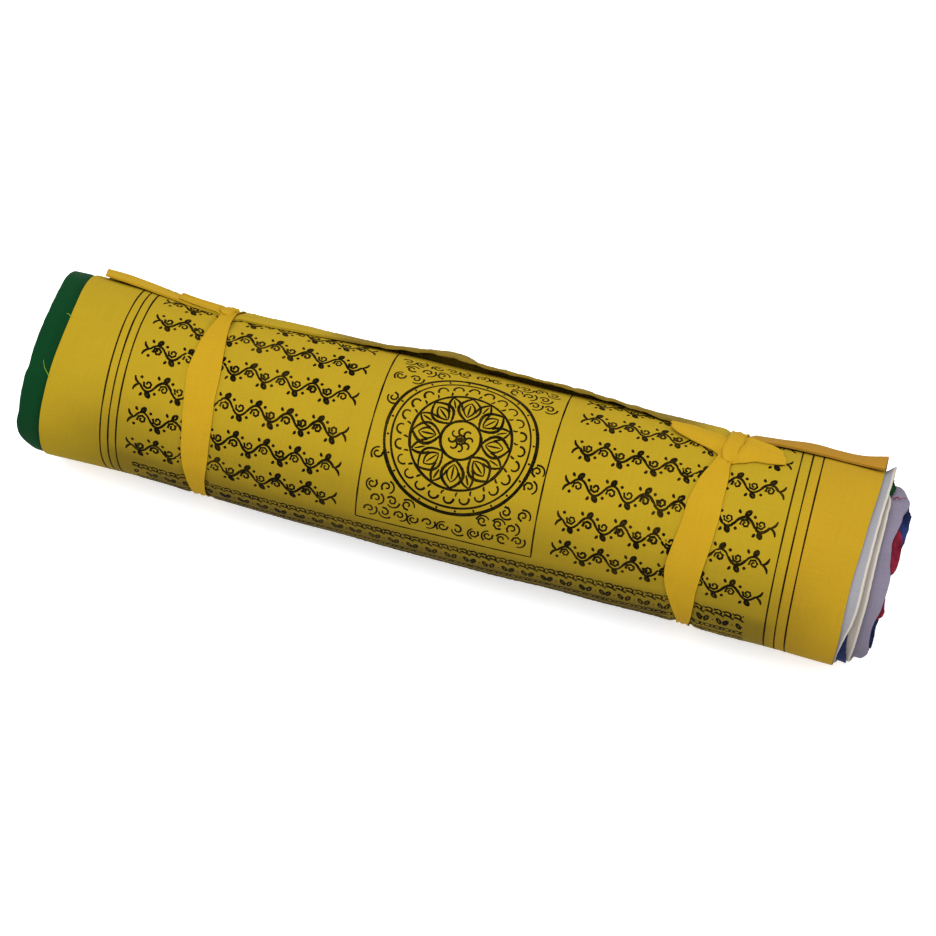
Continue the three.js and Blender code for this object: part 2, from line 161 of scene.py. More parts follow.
# The camera: at the photograph's angle, looking down on the roll from 60 degrees above the floor
cameraSetup = {
    "elevation": 60.0,
    "azimuth": 16.64,
    "distance": 949.1,
    "target": (1.897, 1.287, 23.5),
    "lens": 119.1,
    "sensor": 36.0,
}


def placeCamera(setup):
    # the camera stands at target + distance * back, and looks along -back
    el, az = np.radians(setup["elevation"]), np.radians(setup["azimuth"])
    back = np.array([np.sin(az) * np.cos(el), -np.cos(az) * np.cos(el), np.sin(el)])
    lensData = bpy.data.cameras.new("camera")
    lensData.lens = setup["lens"]
    lensData.sensor_width = setup["sensor"]
    lensData.clip_start = 0.05
    lensData.clip_end = 20
    camera = bpy.data.objects.new("camera", lensData)
    camera.location = (np.array(setup["target"]) + back * setup["distance"]) * 0.001
    camera.rotation_euler = (np.radians(90) - el, 0, az)
    scene.collection.objects.link(camera)
    scene.camera = camera


placeCamera(cameraSetup)
scene.view_settings.view_transform = "Standard"
print("camera placed")


# Cottons. Each is a plain weave: fine crossing threads, some thicker than others, dyed a little
# unevenly and quite matt. The real threads are about 0.3 mm apart, too fine for the render, so
# threadSpacing (mm) draws them coarser.
def zoneShare(tree, cloth, part):
    # the part's share inside its box of the flat cloth and 0 outside it, eased over its soft edges
    share = None
    for axis in ("X", "Y"):
        low, high = part[axis]
        soft = part["soft"]
        for edge, way in ((low, 1), (high, -1)):
            sockets = {"Value": cloth.outputs[axis], "From Min": edge - soft * way, "From Max": edge}
            step = addNode(tree, "MapRange", sockets, interpolation_type="SMOOTHSTEP").outputs[0]
            if share is not None:
                step = addNode(tree, "Math", {0: share, 1: step}, operation="MULTIPLY").outputs[0]
            share = step
    return addNode(tree, "Math", {0: share, 1: part["share"]}, operation="MULTIPLY").outputs[0]


weave = {"streak": 0.3, "relief": 0.16, "bump": 0.22, "depth": 0.00012, "roughness": 0.9}


def wovenCotton(name, dark, light, threadSpacing=0.45, blotch=0.5, patchScale=38, zones=()):
    # the colour runs from dark to light by the threads' height, and by blotch in soft patches
    material = bpy.data.materials.new(name)
    material.use_nodes = True
    tree = material.node_tree
    shader = tree.nodes["Principled BSDF"]
    cloth = addNode(tree, "UVMap", uv_map="clothUv").outputs["UV"]
    place = addNode(tree, "TexCoord").outputs["Object"]
    perMetre = 1000 / threadSpacing
    turned = addNode(tree, "Mapping", {"Vector": cloth, "Scale": [perMetre * np.pi] * 3})
    halves = addNode(tree, "SeparateXYZ", {"Vector": turned.outputs["Vector"]})
    across = addNode(tree, "Math", {0: halves.outputs["X"]}, operation="SINE").outputs[0]
    along = addNode(tree, "Math", {0: halves.outputs["Y"]}, operation="SINE").outputs[0]
    crossing = addNode(tree, "Math", {0: across, 1: along}, operation="MULTIPLY").outputs[0]
    # threads of uneven weight: noise stretched along each of the two directions
    warpMap = addNode(tree, "Mapping", {"Vector": cloth, "Scale": (perMetre, perMetre / 26, 1)})
    weftMap = addNode(tree, "Mapping", {"Vector": cloth, "Scale": (perMetre / 22, perMetre, 1)})
    warp = addNode(tree, "TexNoise", {"Vector": warpMap.outputs[0], "Scale": 1, "Detail": 2})
    weft = addNode(tree, "TexNoise", {"Vector": weftMap.outputs[0], "Scale": 1, "Detail": 2})
    threads = addNode(tree, "Math", {0: warp.outputs["Fac"], 1: weft.outputs["Fac"]}, operation="ADD")
    raised = addNode(tree, "Math", {0: crossing, 1: weave["relief"], 2: threads.outputs[0]},
                     operation="MULTIPLY_ADD")
    # soft patches where the dye took more or less
    patches = addNode(tree, "TexNoise", {"Vector": place, "Scale": patchScale, "Detail": 4, "Roughness": 0.6})
    streaks = addNode(tree, "Math", {0: raised.outputs[0], 1: weave["streak"], 2: 0.5 - weave["streak"]},
                      operation="MULTIPLY_ADD")
    share = addNode(tree, "Math", {0: patches.outputs["Fac"], 1: blotch, 2: streaks.outputs[0]},
                    operation="MULTIPLY_ADD")
    level = addNode(tree, "Math", {0: share.outputs[0], 1: blotch / 2}, operation="SUBTRACT", use_clamp=True)
    colour = None
    flat = addNode(tree, "SeparateXYZ", {"Vector": cloth}) if zones else None
    for part in [{"dark": dark, "light": light}, *zones]:
        # the whole cloth first, then each part of it that is dyed differently, or darkened as painted shade
        # or lightened as painted light
        ends = {6: linearColour(part["dark"]), 7: linearColour(part["light"])}
        dyed = addNode(tree, "Mix", {0: level.outputs[0], **ends}, data_type="RGBA").outputs[2]
        if colour is not None:
            inside = zoneShare(tree, flat, part)
            dyed = addNode(tree, "Mix", {0: inside, 6: colour, 7: dyed}, data_type="RGBA").outputs[2]
        colour = dyed
    tree.links.new(colour, shader.inputs["Base Color"])
    relief = addNode(tree, "Bump", {"Height": raised.outputs[0], "Strength": weave["bump"],
                                    "Distance": weave["depth"]})
    tree.links.new(relief.outputs["Normal"], shader.inputs["Normal"])
    shader.inputs["Roughness"].default_value = weave["roughness"]
    shader.inputs["Specular IOR Level"].default_value = 0.08
    return material


def zone(x, y, soft, share, dark, light):
    # a box of the flat cloth, in metres: X along the roll, Y from the free edge
    return {"X": x, "Y": y, "soft": soft, "share": share, "dark": dark, "light": light}


printedSpan = (-0.101, 0.101)
yellowZones = [
    zone((0.109, 0.2), (-1, 1), 0.008, 1, "#8f7014", "#b28e1d"),  # the bare right margin, more golden
    # painted shade: these three zones darken the yellow low on the front and under the roll, where shade
    # falls
    zone(printedSpan, (0.098, 0.126), 0.026, 0.36, "#3c3210", "#564813"),  # painted shade, darker low on the front
    zone(printedSpan, (0.088, 0.1215), 0.006, 0.42, "#3c3210", "#564813"),
    zone((-0.088, 0.07), (0.085, 0.1145), 0.005, 0.5, "#2c240a", "#4a3c10"),
    zone((-0.04, 0.062), (-1, 0.0075), 0.013, 0.8, "#2e2004", "#8c742a"),  # painted shade on the crumpled hem between the ties, where it lifts off the roll
    zone((-0.2, -0.094), (-1, 0.01), 0.01, 0.8, "#9a7818", "#bd961f"),  # painted light: the loose end's left strip made lighter
    # painted shade: the loose end's right strip darkened to orange-brown
    zone((0.088, 0.2), (-1, 0.012), 0.012, 0.7, "#86591a", "#a3742a"),
]
yellowCotton = wovenCotton("yellowCotton", "#8b7314", "#ab8f1d", blotch=0.3, zones=yellowZones)
greenCotton = wovenCotton("greenCotton", "#032912", "#063e1c", threadSpacing=0.5)
whiteRim = zone((0.12715, 0.2), (-1, 2), 0.0003, 1, "#a59d92", "#c2bab0")
creamRim = zone((0.12985, 0.2), (-1, 2), 0.0003, 1, "#a59d92", "#c2bab0")
whiteCotton = wovenCotton("whiteCotton", "#77767b", "#9a999f", blotch=0.3, zones=[whiteRim])
creamCotton = wovenCotton("creamCotton", "#847c75", "#a69e96", blotch=0.3, zones=[creamRim])
# painted shade: a darker, lilac copy of the white cotton for the inner white flag, deep in the roll's shaded
# end
whiteCottonPaintedShade = wovenCotton("whiteCottonPaintedShade", "#5f5967", "#857e8f", blotch=0.4)
redCotton = wovenCotton("redCotton", "#22050b", "#8e2339", blotch=1.7, patchScale=170)
blueCotton = wovenCotton("blueCotton", "#04060f", "#2c3a6e", blotch=1.7, patchScale=150)
tieCotton = wovenCotton("tieCotton", "#987514", "#b7921c", threadSpacing=0.5, blotch=0.3)
threadCotton = wovenCotton("threadCotton", "#6f8a1e", "#93ab2f", threadSpacing=0.3)


def blockPrintInk():
    # block-printed ink soaked into cotton: nearly black, matt, a little thin where the block was dry
    material = bpy.data.materials.new("blockPrintInk")
    material.use_nodes = True
    tree = material.node_tree
    shader = tree.nodes["Principled BSDF"]
    place = addNode(tree, "TexCoord").outputs["Object"]
    dry = addNode(tree, "TexNoise", {"Vector": place, "Scale": 900, "Detail": 3, "Roughness": 0.7})
    wide = addNode(tree, "TexNoise", {"Vector": place, "Scale": 60, "Detail": 2})
    both = addNode(tree, "Math", {0: dry.outputs["Fac"], 1: wide.outputs["Fac"]}, operation="MULTIPLY")
    thin = addNode(tree, "MapRange", {"Value": both.outputs[0], "From Min": 0.2, "From Max": 0.5})
    ends = {6: linearColour("#0d0a02"), 7: linearColour("#3a2d0a")}
    colour = addNode(tree, "Mix", {0: thin.outputs[0], **ends}, data_type="RGBA")
    tree.links.new(colour.outputs[2], shader.inputs["Base Color"])
    shader.inputs["Roughness"].default_value = 0.9
    shader.inputs["Specular IOR Level"].default_value = 0.04
    return material


inkMaterial = blockPrintInk()
print("materials made")


# The roll's oval section, and the yellow flag wound round it
roll = {
    "reach": 125.0,  # half of a flag's side
    "halfWidthMiddle": 30.08,
    "halfWidthGrowth": 0.0088,  # the roll is looser towards its right end
    "roundness": 0.932,
    "sink": 0.906,  # the flat spot: how far the oval reaches below the floor
    "looseAngle": 50.0,
    "bottomTurn": 140.0,  # the lowest point of the yellow flag
    "bottomInset": 0.506,
}
yellow = {
    "columns": 231,
    "rows": 191,
    "lastTurn": 402.0,
    "pitch": 0.9,
    "thickness": 0.45,
    "grooveDepth": 0.75,
    "grooveShoulder": 2.2,
    "hemWidth": 12.0,  # degrees round the roll
    "hemDepth": 0.25,
    "cornerDrawnBack": 3.5,
    "edgeSpan": 60.0,  # degrees over which the rows follow the free edge's slant
    "mmPerDegree": 0.512,
}
# The loose end: x, angle of its free edge, lift at the edge, lift a little behind it
looseEnd = [
    (-125, 42, .7, 1.9), (-117, 42.5, .6, 1.8), (-110, 43, .45, 1.4), (-102, 45, .3, .9),
    (-93, 48, .15, .4), (-86, 50, 0, .1), (-69, 51, 0, .1), (-60, 48.5, .2, .4), (-50, 45.5, .25, .4),
    (-40, 43, .4, .5), (-32, 42, .9, .7), (-24, 41, 2.0, 1.6), (-17, 40, 2.7, 2.6),
    (-12, 40, 2.8, 3.5), (-7, 40, 2.6, 3.3), (-3, 40, 2.4, 2.2), (1, 40, 2.3, 1.3),
    (5, 40, 2.2, 1.5), (12, 40, 2.0, 1.2), (20, 40, 1.8, .9), (28, 40, 1.6, 1.2),
    (36, 41, 1.5, 1.1), (44, 42, 1.2, .6), (52, 44, .7, .2), (60, 48, .2, .1), (68, 51, 0, 0),
    (84, 49, 0, .1), (92, 44, .1, .6), (103, 43, .15, 1.7), (110, 43, .2, 1.5), (118, 43.5, .25, 1.7),
    (125, 44, .4, 3.1),
]
# How the roll differs from an even cone along its length: x, moved to the front, half width and
# half height more
rollShape = [
    (-125, 0, 1.2, 1.1), (-110, 0, .8, .85), (-92, .05, .35, .3), (-75, .15, .55, .1), (-55, .45, .75, 0),
    (-20, .7, .85, 0), (15, .6, .7, 0), (45, .35, .45, 0), (80, .3, .35, 0), (125, .4, .5, 0),
]
# How far each side strays from straight, by the angle round the roll
leftSide = [(-130, .2), (20, -.2), (45, -.3), (62, .5), (75, 1.0), (100, 1.0), (120, .5), (138, 0),
            (152, -.5), (175, -.6), (195, -.8), (230, .2)]
rightSide = [(-130, -.3), (30, 0), (72, 0), (90, -.4), (108, -.5), (126, -.9), (144, -.9), (166, -.5),
             (200, -.8), (230, -.3)]
# How the two lifts fade: degrees behind the free edge, share of the first, share of the second
liftFade = [(0, 1, 0), (13, 0, 1), (34, 0, 0.5), (60, 0, 0), (90, 0, 0)]
# The ties: angle, x of the middle, width, round the roll and back to where they start
tieLeftRun = [
    (-130, -75.2, 5), (-60, -76.5, 6), (0, -79, 6), (30, -80.2, 4.6), (45, -80.2, 4), (56, -80, 4.4),
    (70, -80.1, 6.3), (88, -79.5, 9), (104, -78.9, 10.2), (118, -78, 9.8), (134, -76.9, 9.2),
    (153, -76.2, 8.5), (168, -75.8, 7.2), (192, -75.2, 4.6), (230, -75.2, 5),
]
tieRightRun = [
    (-130, 77.6, 4.6), (-60, 78.5, 6), (0, 79.5, 6), (40, 80.3, 5), (60, 79.6, 4.4), (74, 78.5, 5),
    (87, 77.7, 7.8), (101, 77, 9.8), (115, 76.9, 10.3), (130, 76.3, 10.7), (144, 75.6, 10.9),
    (159, 75.9, 9.6), (169, 76.8, 7.5), (177, 77.4, 5.7), (185, 77.9, 4.4), (205, 77.9, 3.8),
    (230, 77.6, 4.6),
]


def rollPoint(x, turn, inset):
    # a point of the oval section, drawn in by the inset, and held up by the floor underneath
    angle = np.radians(roll["looseAngle"] - turn)
    place = np.clip(x, -roll["reach"], roll["reach"])
    evenWidth = roll["halfWidthMiddle"] + roll["halfWidthGrowth"] * x
    halfWidth = evenWidth + throughRows(place, rollShape, 2)
    halfHeight = roll["roundness"] * evenWidth + throughRows(place, rollShape, 3)
    y = (halfWidth - inset) * np.cos(angle) - throughRows(place, rollShape, 1)
    z = halfHeight - roll["sink"] + (halfHeight - inset) * np.sin(angle)
    outermost = windingInset(np.mod(turn, 360))
    floorLift = np.maximum(inset - outermost, 0)
    return np.stack(np.broadcast_arrays(x, y, np.maximum(z, floorLift)), -1)


def pointAt(x, angle, inset):
    # the same, by the angle round the roll
    return rollPoint(x, roll["looseAngle"] - angle, inset)


def windingInset(turn):
    # the yellow flag moves in by its pitch with each turn, and is the CAD's height at the bottom
    return roll["bottomInset"] + yellow["pitch"] * (turn - roll["bottomTurn"]) / 360


def edgeTurnAt(x):
    # the winding angle of the loose end's free edge
    return roll["looseAngle"] - throughRows(x, looseEnd, 1)


def atAngle(angle):
    # an angle brought into the tie tables' span
    return np.mod(np.asarray(angle, float) + 130, 360) - 130


def yellowInset(x, turn):
    # spiral, less the loose end's lift, plus the ties' grooves, wrinkles and small unevenness
    angle = atAngle(roll["looseAngle"] - turn)
    inset = windingInset(turn)
    behind = np.maximum(turn - edgeTurnAt(x), 0)
    onTop = turn < 200
    lift = throughRows(x, looseEnd, 2) * throughRows(behind, liftFade, 1)
    lift = lift + throughRows(x, looseEnd, 3) * throughRows(behind, liftFade, 2)
    inset = inset - np.where(onTop, np.maximum(lift, 0), 0)
    for run in (tieLeftRun, tieRightRun):
        away = np.abs(x - throughRows(angle, run, 1)) - throughRows(angle, run, 2) / 2
        inset = inset + yellow["grooveDepth"] * (1 - ease(away / yellow["grooveShoulder"]))
        pull = np.exp(-np.maximum(away, 0) / 9) * ease(away / 3 + 0.3)
        folds = unevenness(x * 0.25, turn * 0.5, 5.5, 11 if run is tieLeftRun else 12)
        inset = inset + 0.16 * pull * folds
    inset = inset + 0.16 * unevenness(x, turn * 0.5, 46, 1) + 0.05 * unevenness(x * 0.5, turn * 0.5, 11, 2)
    # faint folds run round the bare right margin
    for place, start, end, depth in ((111.5, 55, 150, 0.16), (115.4, 62, 128, -0.14), (119, 120, 190, 0.1)):
        reach = ease((angle - start) / 12) * ease((end - angle) / 12)
        inset = inset + depth * reach * np.exp(-(((x - place - 0.02 * (angle - 100)) / 1.1) ** 2))
    # between the ties the loose hem is crumpled like a rope
    hemShare = onTop * ease((14 - behind) / 6) * ease((x + 44) / 10) * ease((72 - x) / 10)
    crumple = unevenness(x, behind * 0.6, 6, 15) + 0.6 * unevenness(x, behind, 3, 16)
    return inset + 0.17 * hemShare * crumple


def coverInset(x, angle):
    # inset of the roll's outside at an angle, with an eased step up on to the loose end's edge
    edge = edgeTurnAt(x)
    turn = edge + np.mod(roll["looseAngle"] - angle - edge, 360)
    step = ease((turn - edge - 340) / 20)
    return yellowInset(x, turn) * (1 - step) + yellowInset(x, edge) * step


def makeYellowCloth():
    # columns run along the roll and rows round it: row 0 follows the loose end's free edge
    along = np.linspace(-roll["reach"], roll["reach"], yellow["columns"])[:, None]
    station = np.linspace(0, yellow["lastTurn"], yellow["rows"])[None, :]
    fade = np.maximum(1 - station / yellow["edgeSpan"], 0)
    turn = station + edgeTurnAt(along) * fade
    # the sides waver a little, and the loose end's left corner is drawn back
    nearLeft, nearRight = ease((-along - 110) / 15), ease((along - 110) / 15)
    waver = 0.12 * unevenness(0 * turn, turn * 0.5, 40, 5)
    x = along + nearLeft * (yellow["cornerDrawnBack"] * fade ** 2 + waver)
    x = x + nearRight * 0.1 * unevenness(0 * turn, turn * 0.5, 40, 6)
    angle = atAngle(roll["looseAngle"] - turn)
    beyondLoose = ease((station - 120) / 60)  # the loose end itself lies straight
    strays = nearLeft * throughRows(angle, leftSide) + nearRight * throughRows(angle, rightSide)
    x = x + beyondLoose * strays
    turn = turn + 0.2 * unevenness(along, 0 * turn, 9, 7) * fade ** 4
    outer = rollPoint(x, turn, yellowInset(along + 0 * turn, turn))
    hem = 1 - ease((station - yellow["hemWidth"]) / 1.5)
    thickness = yellow["thickness"] + yellow["hemDepth"] * hem + 0 * turn
    uv = (along, station * yellow["mmPerDegree"])
    piece = clothSheet("yellowCloth", outer, thickness, yellowCotton, uv)
    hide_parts("yellow_flag")
    return piece, outer


yellowCloth, yellowGrid = makeYellowCloth()
yellowNormals = normalsOf(yellowGrid)
print("yellow flag made")


# The print: strokes of ink that follow the yellow cloth. Flat places are p along the roll and the
# angle a at p = 0, which the block's small turn carries on to x and the winding angle.
printing = {
    "mmPerDegree": yellow["mmPerDegree"],
    "shiftPerDegree": 0.0179,
    "degreesPerMm": 0.05,
    "inkRise": 0.07,
    "inkSink": 0.004,
    "halfLine": 0.27,
}
along9 = np.linspace(0, 1, 9)


def onCloth(x, turn, rise):
    # the yellow cloth's own grid at a place between its points, raised along its normal
    edge = edgeTurnAt(x)
    span = yellow["edgeSpan"]
    station = np.where(turn < span, (turn - edge) / (1 - edge / span), turn)
    i = np.clip((x / roll["reach"] + 1) / 2, 0, 0.9999) * (yellow["columns"] - 1)
    j = np.clip(station / yellow["lastTurn"], 0, 0.9999) * (yellow["rows"] - 1)
    i0, j0 = i.astype(int), j.astype(int)
    u, v = (i - i0)[..., None], (j - j0)[..., None]
    point, normal = 0, 0
    for di, wi in ((0, 1 - u), (1, u)):
        for dj, wj in ((0, 1 - v), (1, v)):
            point = point + wi * wj * yellowGrid[i0 + di, j0 + dj]
            normal = normal + wi * wj * yellowNormals[i0 + di, j0 + dj]
    return point + normal * np.asarray(rise)[..., None]


def inkPiece(name, strokes):
    # each stroke is points (p, a mm down the cloth, half width); its ribbon is ridged: two sides just
    # under the cloth's face and a middle just over it
    path = np.asarray(strokes)
    way = np.gradient(path[..., :2], axis=1)
    way = way / np.maximum(np.linalg.norm(way, axis=-1, keepdims=True), 1e-9)
    side = np.stack([-way[..., 1], way[..., 0]], -1) * path[..., 2:3]
    flat = np.stack([path[..., :2] - side, path[..., :2], path[..., :2] + side], 2)
    p, a = flat[..., 0], flat[..., 1] / printing["mmPerDegree"]
    x = p + printing["shiftPerDegree"] * (a - 100)
    turn = roll["looseAngle"] + 360 - (a - printing["degreesPerMm"] * p)
    rise = np.broadcast_to([-printing["inkSink"], printing["inkRise"], -printing["inkSink"]], x.shape)
    points = onCloth(x, turn, rise)
    points[..., 2] = np.maximum(points[..., 2], 0)  # the roll's flat spot lies on the floor
    count, length = points.shape[:2]
    index = np.arange(count * length * 3).reshape(count, length, 3)
    quads = [np.stack([index[:, :-1, k], index[:, :-1, k + 1], index[:, 1:, k + 1], index[:, 1:, k]], -1)
             for k in (0, 1)]
    faces = np.concatenate([q.reshape(-1, 4) for q in quads]).tolist()
    piece = newPiece(name, points.reshape(-1, 3), faces, inkMaterial, sharpAngle=180)
    return piece


def bend(x0, y0, x1, y1, bulge=0.0, weight=1.0, taper=0.0):
    # a stroke from one point to another, bowed sideways by the bulge, thinner at its ends with taper
    s = along9
    bow = 4 * bulge * s * (1 - s)
    length = max(np.hypot(x1 - x0, y1 - y0), 1e-6)
    x = x0 + (x1 - x0) * s - (y1 - y0) / length * bow
    y = y0 + (y1 - y0) * s + (x1 - x0) / length * bow
    return np.stack([x, y, weight * (1 - taper * np.abs(2 * s - 1) ** 2)], -1)


def curl(x, y, radius, fromDegrees, toDegrees, lastRadius=None, weight=1.0, taper=0.3):
    # an arc, or a spiral where the last radius differs
    s = along9
    t = np.radians(fromDegrees + (toDegrees - fromDegrees) * s)
    r = radius + ((radius if lastRadius is None else lastRadius) - radius) * s
    return np.stack([x + r * np.cos(t), y + r * np.sin(t), weight * (1 - taper * s)], -1)


def dot(x, y, weight):
    # a stroke as long as it is wide
    return bend(x - 0.001, y - 0.9 * weight, x + 0.001, y + 0.9 * weight, 0, weight, 0.8)


# The rows: bands of scrolling vine, and narrow bands of waves, leaves and beads under them
bigRow = {"swing": 1.9, "halfWave": 4.9, "halfStroke": 0.44, "leaf": 1.9}
smallRow = {"halfWave": 3.0, "halfStroke": 0.36, "pitch": 4.4}


def vineRow(startP, endP, middleA, row, seed):
    # a wavy stem in half waves, each with a tendril curled inside it, and a leaf and a bead outside
    draw = np.random.default_rng(seed)
    count = max(int(round((endP - startP) / row["halfWave"])), 1)
    step = (endP - startP) / count
    swing, weight = row["swing"], row["halfStroke"]
    side = 1 if seed % 2 else -1
    made = []
    for k in range(count):
        side = -side
        left = startP + k * step
        middle = left + step / 2 + draw.normal(0, 0.1)
        swell = swing * draw.uniform(0.88, 1.1)
        made.append(bend(left, middleA, left + step, middleA, side * swell, weight * draw.uniform(0.8, 1.15)))
        low = middleA - side * 0.35
        turn = 200 if side > 0 else 160
        made.append(curl(middle, low, swing * 0.82, turn, turn - side * draw.uniform(400, 500), swing * 0.2,
                         weight * draw.uniform(0.85, 1.2), 0.2))
        tip = middleA + side * (swing + row["leaf"])
        foot = middleA + side * (swing + 0.1)
        lean = draw.uniform(0.7, 1.3)
        made += [bend(middle - 0.4, foot, middle + lean, tip, bow, weight * 1.1, 0.4) for bow in (0.5, -0.45)]
        made.append(bend(left + 0.9, middleA + side * (swing + 0.6), left + 0.3,
                         middleA + side * (swing + 1.7), -0.2, weight * 1.15, 0.6))
        made.append(dot(left + 0.1, middleA - side * (swing + 0.3), weight * 1.3))
    # a slim bud closes the band at each end
    for p, way in ((startP, -1), (endP, 1)):
        for up in (-1, 1):
            made.append(bend(p, middleA, p + way * 1.9, middleA + up * 2.3, -up * way * 0.5, weight, 0.5))
    return made


def bigRows():
    # beside the panel on the front, and right across on the rest of the flag
    made = []
    mm = printing["mmPerDegree"]
    for number, angle in enumerate([24, 46.5, 68, 91, 113.5, 134.6, 154.6]):
        made += vineRow(-97, -33.5, angle * mm, bigRow, 100 + number)
        made += vineRow(37, 97, angle * mm, bigRow, 121 + number)
    for number, angle in enumerate([232, 253.5, 275, 296.5, 318, 339.5, 361, 381]):
        made += vineRow(-97, 97, angle * mm, bigRow, 140 + number)
    return made


def smallRows():
    # three kinds of narrow band in turn: running waves, leaf pairs, and rings with beads
    mm = printing["mmPerDegree"]
    draw = np.random.default_rng(5)
    weight = smallRow["halfStroke"]
    made = []
    for number in range(6):
        a = 173.5 * mm + number * smallRow["pitch"]
        for k in range(64):
            p = -96 + k * smallRow["halfWave"] + draw.normal(0, 0.08)
            heavy = weight * draw.uniform(0.85, 1.25)
            if number % 3 == 0:
                made.append(curl(p, a - 0.1, 1.35, 200, 560, 0.4, heavy, 0.1))
                made.append(bend(p - 1.3, a + 0.4, p + 1.8, a + 1.5, -0.4, heavy))
                made.append(dot(p + 1.5, a - 1.1, heavy * 0.9))
            elif number % 3 == 1:
                lean = 1.0 if k % 2 else -1.0
                made += [bend(p, a - 1.6, p + lean, a + 1.5, bow, heavy * 1.1, 0.3) for bow in (0.5, -0.45)]
                made.append(dot(p + 1.5, a, heavy * 0.8))
            else:
                made.append(curl(p, a, 1.1, 0, 360, 1.1, heavy, 0))
                made += [dot(p + smallRow["halfWave"] / 2, a + up, heavy) for up in (-1.1, 1.1)]
    return made


def longLine(p0, a0, p1, a1, halfWidth, count):
    # a straight ruled line, its width wavering a little
    s = np.linspace(0, 1, count)
    waver = 1 + 0.12 * np.sin(s * 31 + p0) + 0.08 * np.sin(s * 73)
    return np.stack([p0 + (p1 - p0) * s, a0 + (a1 - a0) * s, halfWidth * waver], -1)


def ruledLines():
    # three border lines down each side of the print
    mm = printing["mmPerDegree"]
    downs = [-107.2, -104.7, -102.2, 101.2, 104.4, 107.6]
    return [longLine(p, 10 * mm, p, 390 * mm, printing["halfLine"], 330) for p in downs]


def panelFrame():
    # the panel's two sides and its foot
    left, right = -25.3, 29.3
    top, foot = 12 * printing["mmPerDegree"], 164.5 * printing["mmPerDegree"]
    ends = [(left, top, left, foot), (right, top, right, foot), (left, foot, right, foot)]
    return [longLine(*end, printing["halfLine"], 130) for end in ends]


# The panel's medallion: a lotus rosette in rings, on a field of small clouds and waves
medallion = {"p": 2.0, "a": 102.0, "petals": 8, "scale": 1.12, "weight": 1.3}


def medallionStrokes():
    # each part is a stroke turned about the middle, or a ring of arcs; scrolls fill the field round it
    mm = printing["mmPerDegree"]
    middle = np.array([medallion["p"], medallion["a"] * mm])
    draw = np.random.default_rng(9)
    made = []

    def turned(stroke, degrees):
        c, s = np.cos(np.radians(degrees)), np.sin(np.radians(degrees))
        out = stroke.copy()
        stroke = stroke * medallion["scale"]
        out[:, 0] = middle[0] + stroke[:, 0] * c - stroke[:, 1] * s
        out[:, 1] = middle[1] + stroke[:, 0] * s + stroke[:, 1] * c
        out[:, 2] *= medallion["weight"] * draw.uniform(0.85, 1.2)
        made.append(out)

    for radius, weight in ((20.4, 0.42), (18.6, 0.26), (13.6, 0.34), (5.4, 0.36)):
        for k in range(18):
            turned(curl(0, 0, radius, 0, 20.4, None, weight, 0), k * 20)
    for k in range(24):
        turned(curl(16.1, 0, 1.7, -100, 110, 0.9, 0.3), k * 15)
        turned(bend(14.1, 1.3, 15.2, 1.9, 0.2, 0.26, 0.4), k * 15)
        turned(dot(19.5, 0, 0.34), k * 15 + 7.5)
    for k in range(medallion["petals"]):
        at = k * 360 / medallion["petals"]
        # a petal's outline, a line inside it, and its middle vein
        for start, end, bow, weight, taper in ((5.6, 13.3, 3.0, 0.38, 0.3), (5.6, 13.3, -3.0, 0.38, 0.3),
                                               (6.8, 11.6, 1.5, 0.26, 0.4), (6.8, 11.6, -1.5, 0.26, 0.4),
                                               (7.3, 10.8, 0, 0.24, 0.5)):
            turned(bend(start, 0, end, 0, bow, weight, taper), at)
        half = at + 180 / medallion["petals"]
        for up in (1, -1):
            turned(bend(8.6, up * 1.7, 13.2, up * 0.1, up * 0.7, 0.32, 0.3), half)
        turned(bend(9.6, 0, 12.4, 0, 0, 0.26, 0.5), half)
        turned(curl(2.6, 0, 1.6, 150, 360, 0.5, 0.3), at)
    turned(dot(0, 0, 0.9), 0)
    # the field: curled clouds and short waves wherever the rings leave room
    for row in range(13):
        for column in range(11):
            p = -23.2 + column * 4.6 + (row % 2) * 2.3 + draw.normal(0, 0.25)
            q = -27.6 + row * 4.6 + draw.normal(0, 0.25)
            if np.hypot(p, q) < 24.8 or abs(p) > 24.6:
                continue
            x, y = middle[0] + p, middle[1] + q
            turn = draw.uniform(0, 360)
            made.append(curl(x, y, 1.7, turn, turn + draw.uniform(300, 420), 0.4, 0.4))
            made.append(curl(x + 0.3, y + 0.2, 2.2, turn + 150, turn + 290, 1.9, 0.36))
    return made


printPieces = [
    inkPiece("printBigRows", bigRows()), inkPiece("printSmallRows", smallRows()),
    inkPiece("printBorderLines", ruledLines()), inkPiece("printPanelFrame", panelFrame()),
    inkPiece("printMedallion", medallionStrokes()),
]
print("print made:", sum(len(p.data.polygons) for p in printPieces) * 2, "triangles")


